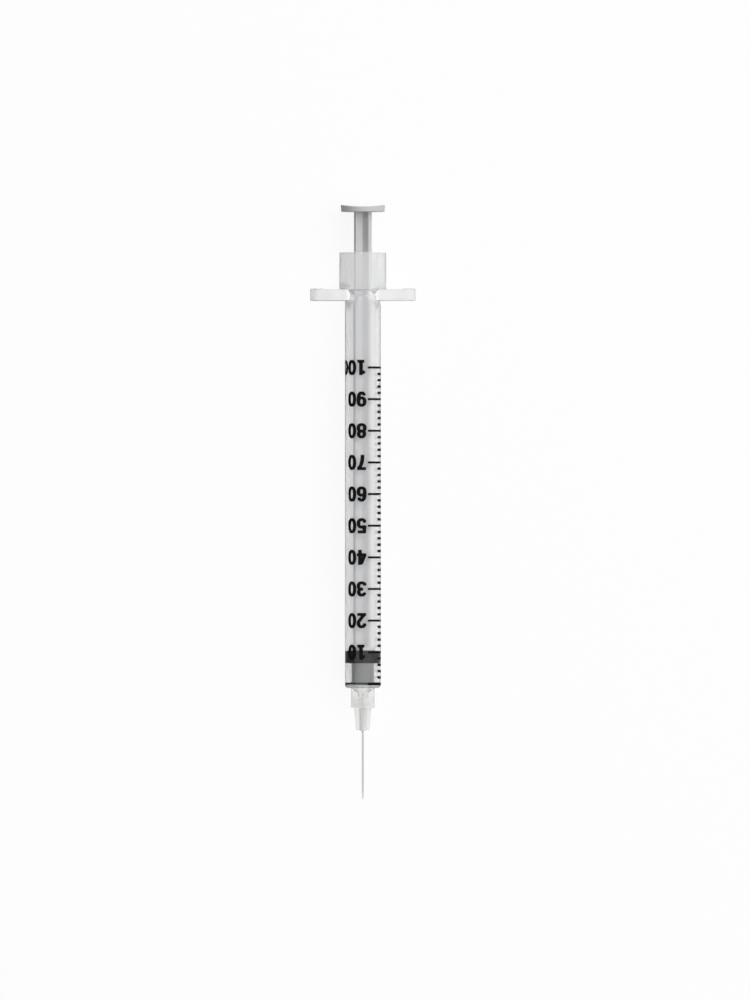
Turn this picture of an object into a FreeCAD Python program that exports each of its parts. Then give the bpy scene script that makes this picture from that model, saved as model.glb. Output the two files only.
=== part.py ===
# A 1 mL insulin syringe with a fixed needle, lying on its side on the flat of its finger flange.
# All sizes are millimetres and degrees. The pieces are drawn upright about the Z axis, with the
# scale's zero line at height 0, the plunger's pad upwards, the needle downwards, the flange's ears
# along X and the printed front towards -Y. At the end they are laid down together: the barrel's
# axis then runs along +Y towards the pad, the printed front faces +Z, and the origin lies on the
# surface below the middle of the syringe.
import FreeCAD, Part
import math
import os

os.makedirs("parts", exist_ok=True)

# Scale printed on the barrel
scale_units = 100
scale_length = 57.0  # from the zero line to the 100 line
units_per_mark = 2
marks_per_major = 5
mark_width = 0.38
zero_mark_width = 0.50
ink_thickness = 0.035
major_start_angle = 16.3  # from the printed front, round towards +X
minor_start_angle = 55.4
mark_end_angle = 100.0

# Barrel: tube, collar and finger flange in one moulding
tube_outer_d = 6.44
bore_d = 4.73
front_wall = 0.50
shoulder_round = 0.55
flange_height = 71.0  # from the zero line to the flange's face on the pad's side
flange_thickness = 1.93
flange_span = 19.0
flange_width = 8.80
flange_corner_round = 0.80
flange_chamfer = 0.15
lip_width = 1.10
lip_height = 0.22
collar_outer_d = 8.44
collar_wall = 0.97
collar_length = 6.75
collar_chamfer = 0.12
funnel_depth = 0.95  # from the collar's floor down to the throat
lead_in_depth = 0.60  # the steeper lower cone of the funnel
lead_in_flare = 0.35
collar_floor_lift = 0.12  # the collar's bore ends this far above the flange's face
throat_land = 0.20
ledge_height = 0.115  # how far the retaining ring stands into the bore
ledge_slope = 0.10

# Spigot under the barrel's front wall, which carries the hub
spigot_root_d = 3.20
spigot_d = 1.50
spigot_cone_length = 0.89
spigot_length = 3.10
spigot_chamfer = 0.15

# Rubber stopper
stopper_lead = 0.20  # how far its front face stands past the zero line
front_rib_length = 0.50
waist_length = 3.40
rear_rib_length = 2.34
waist_d = 4.00
rib_chamfer = 0.12
waist_chamfer = 0.15
end_gap = 0.05  # stopper to the closed end of the bore, and to the retaining ring
seal_clearance = 0.035  # radial, rib to bore

# Plunger rod: cross-shaped rod with thumb pad, pusher disc and mushroom head
blade_span = 3.80
blade_thickness = 0.55
blade_angle = 40.5  # the front blade, round towards +X
blade_edge_round = 0.06
disc_thickness = 0.60
disc_clearance = 0.10  # radial, disc to retaining ring
disc_chamfer = 0.10
neck_d = 1.80
neck_length = 2.00
head_d = 2.70
head_length = 1.40
head_chamfer = 0.45
socket_clearance = 0.03  # head and neck in the stopper
seat_gap = 0.02  # disc to the stopper's rear face
exposed_rod = 7.35  # collar's mouth to the pad's underside
pad_d = 8.00
pad_thickness = 1.26
pad_draft = 0.10  # how much smaller the underside's radius is
pad_dish = 0.36  # depth of the trough across the pad's top
pad_chamfer = 0.10

# Needle hub
hub_d = 4.24
hub_collar_length = 3.58
hub_edge = 0.10
fin_length = 3.95
fin_root_span = 3.18
fin_tip_span = 2.44
fin_thickness = 0.28
fin_chamfer = 0.40
fin_count = 4
fin_angle = 12.0
core_d = 1.34
core_tip_d = 1.24
core_length = 4.12  # from the hub's collar to its mouth
glue_bore_d = 0.60
glue_cup_d = 0.90
glue_cup_depth = 0.40

# Needle, 29 gauge
needle_d = 0.33
lumen_d = 0.18
exposed_needle = 12.60
needle_recess = 0.06  # its rear end below the bore's closed end
needle_clearance = 0.01  # radial, in the spigot
bevel_angle = 12.0
lancet_turn = 35.0
lancet_angle = 17.0

# Adhesive that holds the needle in the hub
glue_depth = 2.60
meniscus_height = 0.35
meniscus_d = 0.70

# Radii
tube_r = tube_outer_d / 2
bore_r = bore_d / 2
collar_r = collar_outer_d / 2
collar_bore_r = collar_r - collar_wall
throat_r = bore_r - ledge_height
rib_r = bore_r - seal_clearance
waist_r = waist_d / 2
disc_r = throat_r - disc_clearance
blade_r = blade_span / 2
neck_r = neck_d / 2
head_r = head_d / 2
pad_r = pad_d / 2
spigot_r = spigot_d / 2
spigot_root_r = spigot_root_d / 2
hub_r = hub_d / 2
needle_r = needle_d / 2
lumen_r = lumen_d / 2
needle_hole_r = needle_r + needle_clearance
glue_bore_r = glue_bore_d / 2

# Heights along the axis, measured from the zero line
stopper_front = -stopper_lead
stopper_rear = stopper_front + front_rib_length + waist_length + rear_rib_length
bore_end = stopper_front - end_gap
barrel_front = bore_end - front_wall
spigot_end = barrel_front - spigot_length
flange_front = flange_height - flange_thickness
collar_floor = flange_height + collar_floor_lift
collar_top = flange_height + collar_length
throat_top = collar_floor - funnel_depth
ledge_top = throat_top - throat_land
ledge_bottom = ledge_top - ledge_slope
disc_front = stopper_rear + seat_gap
disc_rear = disc_front + disc_thickness
pad_base = collar_top + exposed_rod
pad_top = pad_base + pad_thickness
hub_step = barrel_front - hub_collar_length
fin_end = hub_step - fin_length
hub_mouth = hub_step - core_length
needle_rear = bore_end - needle_recess
needle_tip = hub_mouth - exposed_needle
middle = (pad_top + needle_tip) / 2

# Where the stopper meets the retaining ring
plunger_travel = ledge_bottom - end_gap - stopper_rear

same_place = 1e-4  # points nearer than this count as one
origin = FreeCAD.Vector(0, 0, 0)
upward = FreeCAD.Vector(0, 0, 1)
sideways = FreeCAD.Vector(1, 0, 0)
frontward = FreeCAD.Vector(0, -1, 0)


class HalfSection:
    """A closed outline of radius and height, drawn in order and then turned round the axis."""

    def __init__(self, radius, height):
        self.first = FreeCAD.Vector(radius, 0, height)
        self.last = self.first
        self.edges = []

    def line(self, radius, height):
        """Draw straight to a point; a step of no length is left out."""
        target = FreeCAD.Vector(radius, 0, height)
        if not target.isEqual(self.last, same_place):
            self.edges.append(Part.LineSegment(self.last, target).toShape())
            self.last = target
        return self

    def arc(self, centre_r, centre_h, size, start, end):
        """Draw to an arc and round it; 0 degrees points outwards and 90 upwards."""
        spots = []
        for angle in (start, (start + end) / 2, end):
            turn = math.radians(angle)
            spots.append((centre_r + size * math.cos(turn), centre_h + size * math.sin(turn)))
        self.line(*spots[0])
        middle = FreeCAD.Vector(spots[1][0], 0, spots[1][1])
        target = FreeCAD.Vector(spots[2][0], 0, spots[2][1])
        self.edges.append(Part.Arc(self.last, middle, target).toShape())
        self.last = target
        return self

    def solid(self):
        self.line(self.first.x, self.first.z)
        face = Part.Face(Part.Wire(self.edges))
        turned = face.revolve(origin, upward, 360)
        if turned.Volume < 0:
            turned.reverse()
        return turned


def rod(radius, low, high):
    """A plain cylinder on the axis between two heights."""
    return Part.makeCylinder(radius, high - low, FreeCAD.Vector(0, 0, low))


def slab(width_x, width_y, low, high):
    """A box centred on the axis between two heights."""
    corner = FreeCAD.Vector(-width_x / 2, -width_y / 2, low)
    return Part.makeBox(width_x, width_y, high - low, corner)


def upright_edges(shape):
    """The straight edges that run along the axis."""
    found = []
    for edge in shape.Edges:
        step = edge.Vertexes[-1].Point - edge.Vertexes[0].Point
        if step.Length > same_place and math.hypot(step.x, step.y) < same_place:
            found.append(edge)
    return found


def edges_at(shape, height):
    """The edges that lie wholly at one height."""
    found = []
    for edge in shape.Edges:
        box = edge.BoundBox
        if abs(box.ZMin - height) < same_place and abs(box.ZMax - height) < same_place:
            found.append(edge)
    return found


def flange_plan(low, high):
    """The flange's outline: a disc with two flats and rounded corners, between two heights."""
    plate = rod(flange_span / 2, low, high).common(slab(flange_span, flange_width, low, high))
    return plate.makeFillet(flange_corner_round, upright_edges(plate))


def make_flange():
    """Two ears with rounded ends, each with a low lip along its end on the pad's side."""
    plate = flange_plan(flange_front, flange_height)
    plate = plate.makeChamfer(flange_chamfer, edges_at(plate, flange_front))
    lips = flange_plan(flange_height, flange_height + lip_height)
    lips = lips.makeChamfer(lip_height / 2, edges_at(lips, flange_height + lip_height))
    inner_r = flange_span / 2 - lip_width
    lips = lips.cut(rod(inner_r, flange_height - lip_height, flange_height + 2 * lip_height))
    return plate.fuse(lips)


def make_barrel():
    """Tube, collar, flange and spigot, with the funnel and retaining ring inside."""
    body = HalfSection(0, spigot_end)
    body.line(spigot_r - spigot_chamfer, spigot_end)
    body.line(spigot_r, spigot_end + spigot_chamfer)
    body.line(spigot_r, barrel_front - spigot_cone_length)
    body.line(spigot_root_r, barrel_front)
    body.arc(tube_r - shoulder_round, barrel_front + shoulder_round, shoulder_round, -90, 0)
    body.line(tube_r, flange_front)
    body.line(tube_r, flange_height - flange_thickness / 2)
    body.line(collar_r, flange_height - flange_thickness / 2)
    body.line(collar_r, collar_top - collar_chamfer)
    body.line(collar_r - collar_chamfer, collar_top)
    body.line(0, collar_top)

    hollow = HalfSection(0, bore_end)
    hollow.line(bore_r, bore_end)
    hollow.line(bore_r, ledge_bottom)
    hollow.line(throat_r, ledge_top)
    hollow.line(throat_r, throat_top)
    hollow.line(throat_r + lead_in_flare, throat_top + lead_in_depth)
    hollow.line(collar_bore_r, collar_floor)
    hollow.line(collar_bore_r, collar_top - collar_chamfer)
    hollow.line(collar_bore_r + collar_chamfer, collar_top)
    hollow.line(collar_bore_r + collar_chamfer, collar_top + collar_chamfer)
    hollow.line(0, collar_top + collar_chamfer)

    needle_hole = rod(needle_hole_r, spigot_end - end_gap, bore_end + end_gap)
    solid = body.solid().fuse(make_flange())
    return solid.cut(hollow.solid()).cut(needle_hole).removeSplitter()


def make_mark(height, width, start_angle):
    """One line of ink: a thin curved strip on the tube, from its start angle to the common end."""
    sweep = mark_end_angle - start_angle
    low = FreeCAD.Vector(0, 0, height - width / 2)
    outer = Part.makeCylinder(tube_r + ink_thickness, width, low, upward, sweep)
    strip = outer.cut(Part.makeCylinder(tube_r, width, low))
    # The strip starts at +X and runs anticlockwise; the printed front is at -Y.
    strip.rotate(origin, upward, start_angle - 90)
    return strip


def make_scale():
    """Every line of the scale, long at each tenth unit, with a heavier zero line."""
    marks = []
    spacing = scale_length * units_per_mark / scale_units
    for step in range(scale_units // units_per_mark + 1):
        is_major = step % marks_per_major == 0
        width = zero_mark_width if step == 0 else mark_width
        start_angle = major_start_angle if is_major else minor_start_angle
        marks.append(make_mark(step * spacing, width, start_angle))
    return Part.makeCompound(marks)


def make_stopper():
    """Rubber stopper: two sealing ribs, a slimmer waist and a socket for the rod's head."""
    waist_bottom = stopper_front + front_rib_length
    waist_top = stopper_rear - rear_rib_length
    body = HalfSection(0, stopper_front)
    body.line(rib_r - rib_chamfer, stopper_front)
    body.line(rib_r, stopper_front + rib_chamfer)
    body.line(rib_r, waist_bottom - rib_chamfer)
    body.line(rib_r - rib_chamfer, waist_bottom)
    body.line(waist_r + waist_chamfer, waist_bottom)
    body.line(waist_r, waist_bottom + waist_chamfer)
    body.line(waist_r, waist_top - waist_chamfer)
    body.line(waist_r + waist_chamfer, waist_top)
    body.line(rib_r - rib_chamfer, waist_top)
    body.line(rib_r, waist_top + rib_chamfer)
    body.line(rib_r, stopper_rear - rib_chamfer)
    body.line(rib_r - rib_chamfer, stopper_rear)
    body.line(0, stopper_rear)

    head_rear = disc_front - neck_length
    head_front = head_rear - head_length
    socket = HalfSection(0, head_front - socket_clearance)
    socket.line(head_r - head_chamfer + socket_clearance, head_front - socket_clearance)
    socket.line(head_r + socket_clearance, head_front + head_chamfer - socket_clearance)
    socket.line(head_r + socket_clearance, head_rear + socket_clearance)
    socket.line(neck_r + socket_clearance, head_rear + socket_clearance)
    socket.line(neck_r + socket_clearance, disc_front)
    socket.line(0, disc_front)
    return body.solid().cut(socket.solid())


def make_blades():
    """The cross-shaped rod: two crossed slabs trimmed to a round, from the disc to the pad."""
    low = disc_rear
    high = pad_base
    across = slab(2 * blade_span, blade_thickness, low, high)
    along = slab(blade_thickness, 2 * blade_span, low, high)
    cross = across.fuse(along).common(rod(blade_r, low, high)).removeSplitter()
    tip_edges = []
    for edge in upright_edges(cross):
        spot = edge.Vertexes[0].Point
        if math.hypot(spot.x, spot.y) > blade_r - blade_edge_round:
            tip_edges.append(edge)
    cross = cross.makeFillet(blade_edge_round, tip_edges)
    cross.rotate(origin, upward, blade_angle)
    return cross


def make_pad():
    """Round thumb pad with a shallow trough across its top, front to back."""
    blank = HalfSection(0, pad_base)
    blank.line(pad_r - pad_draft - pad_chamfer, pad_base)
    blank.line(pad_r - pad_draft, pad_base + pad_chamfer)
    blank.line(pad_r, pad_top - pad_chamfer)
    blank.line(pad_r - pad_chamfer, pad_top)
    blank.line(0, pad_top)
    trough_r = (pad_r ** 2 + pad_dish ** 2) / (2 * pad_dish)
    centre = FreeCAD.Vector(0, pad_d, pad_top - pad_dish + trough_r)
    trough = Part.makeCylinder(trough_r, 2 * pad_d, centre, frontward)
    return blank.solid().cut(trough)


def make_plunger_rod():
    """Rod, pad, pusher disc, neck and mushroom head in one moulding."""
    head_rear = disc_front - neck_length
    head_front = head_rear - head_length
    tail = HalfSection(0, head_front)
    tail.line(head_r - head_chamfer, head_front)
    tail.line(head_r, head_front + head_chamfer)
    tail.line(head_r, head_rear)
    tail.line(neck_r, head_rear)
    tail.line(neck_r, disc_front)
    tail.line(disc_r - disc_chamfer, disc_front)
    tail.line(disc_r, disc_front + disc_chamfer)
    tail.line(disc_r, disc_rear - disc_chamfer)
    tail.line(disc_r - disc_chamfer, disc_rear)
    tail.line(0, disc_rear)
    return tail.solid().fuse([make_blades(), make_pad()]).removeSplitter()


def make_fin(number):
    """One tapered fin: a thin upright plate from the axis to its sloping outer edge."""
    corners = [
        (0, hub_step),
        (fin_root_span / 2, hub_step),
        (fin_tip_span / 2, fin_end + fin_chamfer),
        (fin_tip_span / 2 - fin_chamfer, fin_end),
        (0, fin_end),
        (0, hub_step),
    ]
    spots = [FreeCAD.Vector(r, -fin_thickness / 2, h) for r, h in corners]
    plate = Part.Face(Part.makePolygon(spots)).extrude(FreeCAD.Vector(0, fin_thickness, 0))
    plate.rotate(origin, upward, fin_angle + number * 360 / fin_count)
    return plate


def make_needle_hub():
    """Hub: a smooth collar with a socket for the spigot, and a slim finned nose with a glue well."""
    body = HalfSection(0, hub_mouth)
    body.line(core_tip_d / 2, hub_mouth)
    body.line(core_d / 2, hub_step)
    body.line(hub_r - hub_edge, hub_step)
    body.line(hub_r, hub_step + hub_edge)
    body.line(hub_r, barrel_front - hub_edge)
    body.line(hub_r - hub_edge, barrel_front)
    body.line(0, barrel_front)
    fins = [make_fin(number) for number in range(fin_count)]

    well = HalfSection(0, hub_mouth - glue_cup_depth)
    well.line(glue_cup_d / 2, hub_mouth - glue_cup_depth)
    well.line(glue_cup_d / 2, hub_mouth)
    well.line(glue_bore_r, hub_mouth + glue_cup_depth)
    well.line(glue_bore_r, spigot_end)
    well.line(spigot_r - spigot_chamfer, spigot_end)
    well.line(spigot_r, spigot_end + spigot_chamfer)
    well.line(spigot_r, barrel_front - spigot_cone_length)
    well.line(spigot_root_r, barrel_front)
    well.line(spigot_root_r, barrel_front + end_gap)
    well.line(0, barrel_front + end_gap)
    return body.solid().fuse(fins).cut(well.solid()).removeSplitter()


def bevel_cutter(slope, turn):
    """A block whose one face passes through the needle's point and leans to the front by a slope."""
    size = 4 * needle_d / math.tan(math.radians(slope))
    point = FreeCAD.Vector(0, needle_r, needle_tip)
    block = Part.makeBox(size, size, size, FreeCAD.Vector(-size / 2, -size, -size / 2))
    block.rotate(origin, sideways, slope)
    block.translate(point)
    block.rotate(point, upward, turn)
    return block


def make_needle():
    """Steel tube with a long bevel facing the printed front and two lancet facets at its point."""
    tube = rod(needle_r, needle_tip, needle_rear).cut(rod(lumen_r, needle_tip, needle_rear))
    tube = tube.cut(bevel_cutter(bevel_angle, 0))
    for turn in (-lancet_turn, lancet_turn):
        tube = tube.cut(bevel_cutter(lancet_angle, turn))
    return tube


def make_needle_adhesive():
    """Clear glue between needle and hub, with a hollow meniscus drawn up the needle."""
    ring = HalfSection(needle_r, hub_mouth + glue_depth)
    ring.line(needle_r, hub_mouth - meniscus_height)
    ring.line(meniscus_d / 2, hub_mouth)
    ring.line(glue_cup_d / 2, hub_mouth)
    ring.line(glue_bore_r, hub_mouth + glue_cup_depth)
    ring.line(glue_bore_r, hub_mouth + glue_depth)
    return ring.solid()


def lay_down(shape):
    """Turn a piece from its upright drawing onto its side, with the flange's flat on the surface."""
    laid = shape.copy()
    laid.rotate(origin, sideways, -90)
    laid.translate(FreeCAD.Vector(0, -middle, flange_width / 2))
    return laid


def main():
    pieces = {
        "barrel": make_barrel(),
        "scale_marks": make_scale(),
        "stopper": make_stopper(),
        "plunger_rod": make_plunger_rod(),
        "needle_hub": make_needle_hub(),
        "needle": make_needle(),
        "needle_adhesive": make_needle_adhesive(),
    }
    for name, shape in pieces.items():
        laid = lay_down(shape)
        laid.exportStep(os.path.join("parts", name + ".step"))
        box = laid.BoundBox
        print(
            f"{name}: {len(laid.Solids)} solid(s), valid {laid.isValid()}, {laid.Volume:.3f} mm3, "
            f"x {box.XMin:.3f} to {box.XMax:.3f}, y {box.YMin:.3f} to {box.YMax:.3f}, "
            f"z {box.ZMin:.3f} to {box.ZMax:.3f}"
        )
    print(f"zero line at y {-middle:.3f}, axis at z {flange_width / 2:.3f}")
    print(f"hub collar from y {hub_step - middle:.3f} to {barrel_front - middle:.3f}")
    print(f"barrel collar from y {flange_height - middle:.3f} to {collar_top - middle:.3f}")
    print(f"plunger travel {plunger_travel:.3f}")


main()
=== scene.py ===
import math

import bmesh
import bpy
import numpy as np
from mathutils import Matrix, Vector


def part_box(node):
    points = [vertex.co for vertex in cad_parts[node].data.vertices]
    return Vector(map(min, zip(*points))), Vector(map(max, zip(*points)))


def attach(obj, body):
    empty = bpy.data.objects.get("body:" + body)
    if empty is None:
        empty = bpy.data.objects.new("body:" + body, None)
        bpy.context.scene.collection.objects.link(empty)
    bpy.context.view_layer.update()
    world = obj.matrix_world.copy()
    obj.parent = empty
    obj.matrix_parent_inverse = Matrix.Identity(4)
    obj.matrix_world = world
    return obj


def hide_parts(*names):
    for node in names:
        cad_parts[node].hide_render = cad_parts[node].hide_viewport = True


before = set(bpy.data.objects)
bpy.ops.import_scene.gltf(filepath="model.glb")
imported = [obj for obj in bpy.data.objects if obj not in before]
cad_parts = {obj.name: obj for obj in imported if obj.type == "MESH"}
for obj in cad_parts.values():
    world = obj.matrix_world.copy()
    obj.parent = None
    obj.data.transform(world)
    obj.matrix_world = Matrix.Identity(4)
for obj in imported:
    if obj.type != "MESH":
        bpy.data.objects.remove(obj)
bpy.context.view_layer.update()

# An insulin syringe that lies on the flat of its finger flange.
# Every piece is worked out in millimetres as a radius, an angle and a height. Height runs along the
# barrel from the scale's zero line towards the thumb pad. Angle turns from the printed front, which
# faces up, towards +X.
mm = 0.001
barrelLow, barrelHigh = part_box("barrel")
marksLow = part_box("scale_marks")[0]
rodLow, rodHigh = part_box("plunger_rod")
stopperLow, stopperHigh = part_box("stopper")
hubLow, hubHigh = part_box("needle_hub")
needleLow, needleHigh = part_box("needle")
glueLow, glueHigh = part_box("needle_adhesive")

scaleValues = {
    "units": 100,
    "unitsPerMark": 2,
    "marksPerNumber": 5,
    "length": 57.0,
    "longWidth": 0.38,
    "shortWidth": 0.46,
    "zeroWidth": 0.50,
    "longStart": 16.3,  # degrees from the printed front
    "shortStart": 55.4,
    "end": 100.0,
    "ink": 0.035,  # thickness
    "steps": 36,
}
zeroY = marksLow.y + scaleValues["zeroWidth"] / 2 * mm
axisZ = (barrelLow.z + barrelHigh.z) / 2


def heightOf(y):
    # Height in millimetres of a place along the barrel.
    return (y - zeroY) / mm


def place(radius, angle, height):
    # Across the barrel a point stands at radius times the sine and cosine of its angle, and along
    # it at its height from the zero line.
    across, along, up = np.broadcast_arrays(radius * np.sin(angle), height, radius * np.cos(angle))
    return np.stack([across, along, up], axis=-1) * mm + np.array([0, zeroY, axisZ])


def roundedPath(corners, closed=False, steps=5):
    # Straight sides through corners given as radius, height and rounding. A rounding is the arc that
    # touches both sides: its spokes turn from the first to the last in equal steps. The second
    # result says which corner each point came from.
    spots = np.array([corner[:2] for corner in corners], float)
    rows = []
    owners = []
    for index, corner in enumerate(corners):
        here = spots[index]
        points = here[None, :]
        isEnd = not closed and index in (0, len(corners) - 1)
        if corner[2] > 0 and not isEnd:
            back = spots[index - 1] - here
            ahead = spots[(index + 1) % len(spots)] - here
            shortest = min(np.linalg.norm(back), np.linalg.norm(ahead))
            back = back / np.linalg.norm(back)
            ahead = ahead / np.linalg.norm(ahead)
            half = math.acos(float(np.clip(back @ ahead, -1, 1))) / 2
            reach = min(corner[2] / math.tan(half), 0.45 * shortest)
            inward = (back + ahead) / np.linalg.norm(back + ahead)
            centre = here + inward * reach / math.cos(half)
            first = here + back * reach - centre
            last = here + ahead * reach - centre
            turn = math.pi - 2 * half
            share = np.linspace(0, 1, steps + 1)[:, None]
            spokes = np.sin((1 - share) * turn) * first + np.sin(share * turn) * last
            points = centre + spokes / math.sin(turn)
        rows.append(points)
        owners.extend([index] * len(points))
    return np.vstack(rows), np.array(owners)


def evenAngles(count):
    return np.arange(count) * math.tau / count


def crossAngles(turn, perHalf=28):
    # Angles for a cross-shaped section: in each eighth of the turn they crowd towards the blade, as
    # a power of an even count.
    share = np.arange(perHalf) / perHalf
    near = math.pi / 4 * share ** 1.5
    quarter = np.concatenate([near, math.pi / 2 - near[1:][::-1], [math.pi / 4]])
    quarter = np.sort(quarter)
    return np.concatenate([quarter + math.pi / 2 * side for side in range(4)]) + math.radians(turn)


def bladeReach(angle, turn, halfThickness, tip):
    # A cross of four blades seen along its axis. Each blade reaches the lesser of its tip radius and
    # half its thickness over the sine of the angle from its middle; the cross reaches as far as the
    # farthest blade. Both choices are made with powers, which rounds the edges.
    away = angle - math.radians(turn)
    sine = np.maximum(np.abs(np.sin(away)), 1e-6)
    cosine = np.maximum(np.abs(np.cos(away)), 1e-6)
    edge = 60
    inner = 14
    one = (tip ** -edge + (halfThickness / sine) ** -edge) ** (-1 / edge)
    other = (tip ** -edge + (halfThickness / cosine) ** -edge) ** (-1 / edge)
    return (one ** inner + other ** inner) ** (1 / inner)


def finishMesh(name, points, faces, materials, slots=None, sharp=32):
    # Puts points and faces into a mesh, closes seams and poles, and shades it smooth apart from
    # edges that turn by more than the sharp angle.
    mesh = bpy.data.meshes.new(name)
    mesh.from_pydata(points.reshape(-1, 3).tolist(), [], faces.tolist())
    if slots is not None:
        mesh.polygons.foreach_set("material_index", slots.astype(np.int32))
    seamGap = 1e-7  # metres
    joined = bmesh.new()
    joined.from_mesh(mesh)
    bmesh.ops.remove_doubles(joined, verts=joined.verts, dist=seamGap)
    joined.to_mesh(mesh)
    joined.free()
    mesh.shade_smooth()
    mesh.set_sharp_from_angle(angle=math.radians(sharp))
    for material in materials:
        mesh.materials.append(material)
    piece = bpy.data.objects.new(name, mesh)
    bpy.context.scene.collection.objects.link(piece)
    return piece


def gridFaces(rowCount, angleCount, closed):
    # Four-sided faces between neighbouring rows, round each row, and from the last row back to the
    # first where the section is closed.
    row = np.arange(rowCount if closed else rowCount - 1)[:, None]
    column = np.arange(angleCount)[None, :]
    nextRow = (row + 1) % rowCount
    nextColumn = (column + 1) % angleCount
    corners = [row * angleCount + column, row * angleCount + nextColumn]
    corners += [nextRow * angleCount + nextColumn, nextRow * angleCount + column]
    return np.stack(corners, axis=-1).reshape(-1, 4)


# Shader building
class Wire:
    # One socket of a material; a sum or product of wires adds the Math nodes that work it out.
    def __init__(self, finish, socket):
        self.finish = finish
        self.socket = socket

    def maths(self, operation, first, second):
        return self.finish.add("ShaderNodeMath", {"operation": operation}, {0: first, 1: second})

    def __add__(self, other):
        return self.maths("ADD", self, other)

    __radd__ = __add__

    def __sub__(self, other):
        return self.maths("SUBTRACT", self, other)

    def __rsub__(self, other):
        return self.maths("SUBTRACT", other, self)

    def __mul__(self, other):
        return self.maths("MULTIPLY", self, other)

    __rmul__ = __mul__

    def __pow__(self, other):
        return self.maths("POWER", self, other)


class Finish:
    # A node tree; add() makes any node from its type, its settings and its sockets' values or wires.
    def __init__(self, name, tree=None):
        self.material = None
        if tree is None:
            self.material = bpy.data.materials.new(name)
            self.material.use_nodes = True
            tree = self.material.node_tree
        self.tree = tree
        self.tree.nodes.clear()

    def add(self, kind, settings=None, sockets=None, out=0):
        node = self.tree.nodes.new(kind)
        for key, value in (settings or {}).items():
            if key == "stops":
                ramp = node.color_ramp
                while len(ramp.elements) < len(value):
                    ramp.elements.new(0.5)
                for element, (position, colour) in zip(ramp.elements, value):
                    element.position = position
                    element.color = colour
            else:
                setattr(node, key, value)
        for key, value in (sockets or {}).items():
            if isinstance(value, Wire):
                self.tree.links.new(value.socket, node.inputs[key])
            else:
                node.inputs[key].default_value = value
        return Wire(self, node.outputs[out])

    def output(self, surface, kind="ShaderNodeOutputMaterial"):
        node = self.tree.nodes.new(kind)
        self.tree.links.new(surface.socket, node.inputs["Surface"])
        return self.material

    def position(self, scale=(1, 1, 1)):
        # The piece's own coordinates in millimetres, centred on the barrel's axis.
        spot = self.add("ShaderNodeTexCoord", out="Object")
        settings = {"vector_type": "POINT"}
        values = {
            "Vector": spot,
            "Location": (0, -zeroY / mm * scale[1], -axisZ / mm * scale[2]),
            "Scale": tuple(part / mm for part in scale),
        }
        return self.add("ShaderNodeMapping", settings, values)

    def along(self, direction="Y"):
        # The place along one direction: Y is the height, X the distance to the right of the axis.
        return self.add("ShaderNodeSeparateXYZ", {}, {0: self.position()}, out=direction)

    def noise(self, scale, size=1.0, detail=2.0, roughness=0.5):
        # Soft noise from 0 to 1, stretched by the scale; size is the number of its grains to a
        # millimetre.
        values = {
            "Vector": self.position(scale),
            "Scale": size,
            "Detail": detail,
            "Roughness": roughness,
        }
        return self.add("ShaderNodeTexNoise", {}, values)

    def ramp(self, factor, *stops):
        return self.add("ShaderNodeValToRGB", {"stops": stops}, {"Fac": factor})

    def tint(self, factor, low, high):
        # A colour between two, by a factor.
        values = {"Factor": factor, "A": (*low, 1), "B": (*high, 1)}
        return self.add("ShaderNodeMix", {"data_type": "RGBA"}, values, out="Result")

    def bump(self, height, depth):
        # A normal tilted by the height; depth is in millimetres.
        values = {"Height": height, "Strength": 1.0, "Distance": depth * mm}
        return self.add("ShaderNodeBump", {}, values)

    def rise(self, value, start, end):
        # Eased from 0 at the start to 1 at the end.
        values = {"Value": value, "From Min": start, "From Max": end}
        return self.add("ShaderNodeMapRange", {"interpolation_type": "SMOOTHSTEP"}, values)

    def principled(self, sockets):
        return self.add("ShaderNodeBsdfPrincipled", {}, sockets)

    def mixed(self, share, first, second):
        return self.add("ShaderNodeMixShader", {}, {0: share, 1: first, 2: second})

    def milk(self, colour, backward):
        # Plastic that spreads light, a share of it back and the rest onwards.
        back = self.principled({"Base Color": colour, "Roughness": 0.6, "Specular IOR Level": 0.1})
        forward = self.add("ShaderNodeBsdfTranslucent", {}, {"Color": colour})
        return self.mixed(backward, forward, back)

    def passShadow(self, surface, clear=0.98):
        # Lamps shine through a clear piece, so that what it holds is lit.
        isShadow = self.add("ShaderNodeLightPath", out="Is Shadow Ray")
        through = self.add("ShaderNodeBsdfTransparent", {}, {"Color": (clear, clear, clear, 1)})
        return self.mixed(isShadow, surface, through)


# Sizes of the hub, whose finish reads them too
hubValues = {
    "collarLength": 3.58,
    "finLength": 4.03,
    "finRoot": 1.59,
    "finTip": 1.22,
    "finChamfer": 0.22,
    "finFillet": 0.08,
    "finHalfThickness": 0.14,
    "finTurn": 12.0,
    "core": 0.67,
    "coreTip": 0.62,
    "glueBore": 0.30,
    "glueCup": 0.45,
    "cupDepth": 0.40,
    "socketGap": 0.025,
    "seatDepths": (2.4, 1.2),  # below the tube's front, between which the haze changes
}

clearLook = {
    "colour": (0.962, 0.965, 0.970),
    "flangeColour": (0.885, 0.885, 0.890),
    "ior": 1.49,  # of the barrel and of the hub
    "roughness": 0.03,
    "haze": 0.30,  # share of the light that an inner wall spreads
    "backward": 0.6,  # share of the spread light that is thrown back
    "frontHaze": 0.5,  # share that the outside spreads at the front wall
    "flangeHaze": 0.35,
    "collarHaze": 0.25,
    "collarShade": 0.1,  # share of the flange's colour that the collar has
    "frontEnds": (-0.6, 0.1),  # heights over which the thick front runs out into the tube
    "flangeStarts": (66.8, 69.2),
    "collarStarts": (71.05, 71.5),
    "earStarts": (2.5, 3.2),  # distances from the middle, to either side
}


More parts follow.
